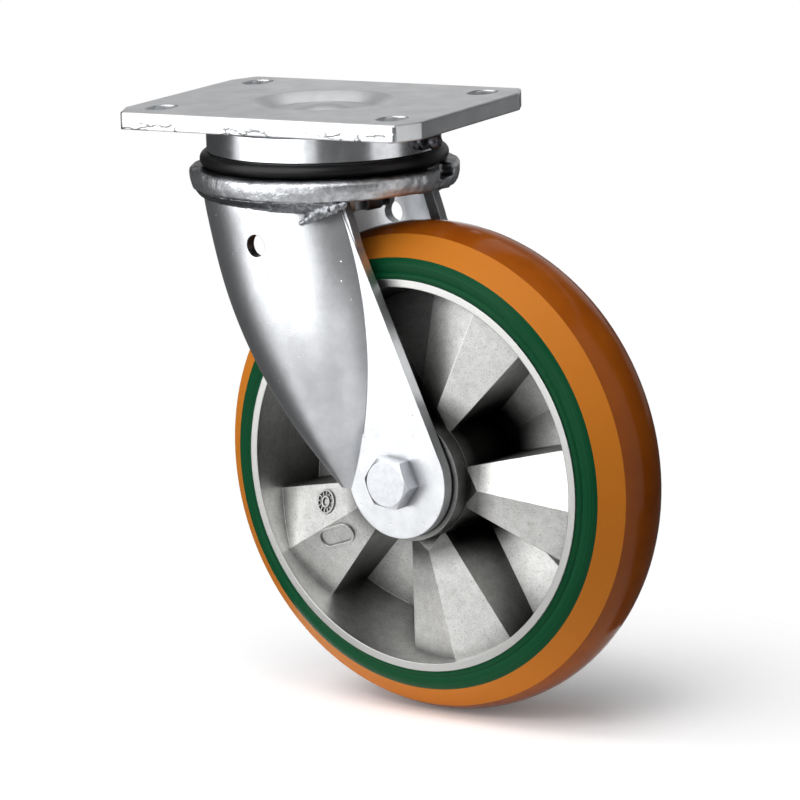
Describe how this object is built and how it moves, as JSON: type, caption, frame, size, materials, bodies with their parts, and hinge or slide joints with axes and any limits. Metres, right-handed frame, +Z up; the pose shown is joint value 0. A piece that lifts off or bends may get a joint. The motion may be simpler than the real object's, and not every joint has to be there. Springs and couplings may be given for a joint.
{
  "type": "swivel castor",
  "caption": "Heavy swivel castor: slotted top plate, welded steel fork, cast aluminium wheel centre and a two-layer polyurethane tyre, turning freely about both axes.",
  "frame": {"origin": "centre of the bolt pattern on the top plate's upper face, on the swivel axis", "axes": "+Z up out of the plate's upper face along the swivel axis, +X along the plate's long side on the wheel's side, +Y towards the nut's side"},
  "size_m": [0.2212, 0.11, 0.245],
  "materials": {
    "zinc_plated_steel": "bright zinc plated, satin",
    "weld_bead": "zinc plated weld bead",
    "zinc_plated_fastener": "bright zinc plated",
    "dark_zinc": "dark zinc",
    "bearing_steel": "ground",
    "turned_steel": "turned",
    "black_rubber": "moulded",
    "cage_polyamide": "moulded",
    "cast_aluminium": "die cast, tumbled",
    "elastic_polyurethane": "cast, satin",
    "tread_polyurethane": "cast, turned sides and glossy running face"
  },
  "bodies": {
    "plate": {"top_plate": "zinc_plated_steel", "kingpin": "zinc_plated_steel", "kingpin_nut": "zinc_plated_steel", "bearing_ring": "zinc_plated_steel", "ring_weld": "weld_bead", "grease_nipple": "dark_zinc", "lower_bearing_cone": "bearing_steel"},
    "fork": {"upper_ball_cage": "turned_steel", "swivel_seal": "black_rubber", "crown": "zinc_plated_steel", "lower_bearing_cup": "bearing_steel", "lower_bearing_rollers": "bearing_steel", "leg_near": "zinc_plated_steel", "leg_far": "zinc_plated_steel", "leg_weld_near": "weld_bead", "leg_weld_far": "weld_bead", "axle_bolt": "zinc_plated_fastener", "axle_nut": "zinc_plated_fastener", "nut_washer": "zinc_plated_fastener", "axle_tube": "turned_steel", "inner_spacer": "turned_steel", "thrust_washer_near": "turned_steel", "thrust_washer_far": "turned_steel", "bearing_inner_ring_near": "bearing_steel", "bearing_inner_ring_far": "bearing_steel"},
    "wheel": {"wheel_centre": "cast_aluminium", "elastic_layer": "elastic_polyurethane", "tread": "tread_polyurethane", "bearing_outer_ring_near": "bearing_steel", "bearing_outer_ring_far": "bearing_steel", "bearing_seal_near": "black_rubber", "bearing_seal_far": "black_rubber", "bearing_cage_near": "cage_polyamide", "bearing_cage_far": "cage_polyamide"}
  },
  "joints": [
    {"name": "swivel", "type": "hinge", "parent": "plate", "child": "fork", "pos_m": [0, 0, 0], "axis": [0, 0, 1], "continuous": true},
    {"name": "wheel_spin", "type": "hinge", "parent": "fork", "child": "wheel", "pos_m": [0.05448, -0.00756, -0.145], "axis": [0.1374, 0.9905, 0], "continuous": true}
  ]
}
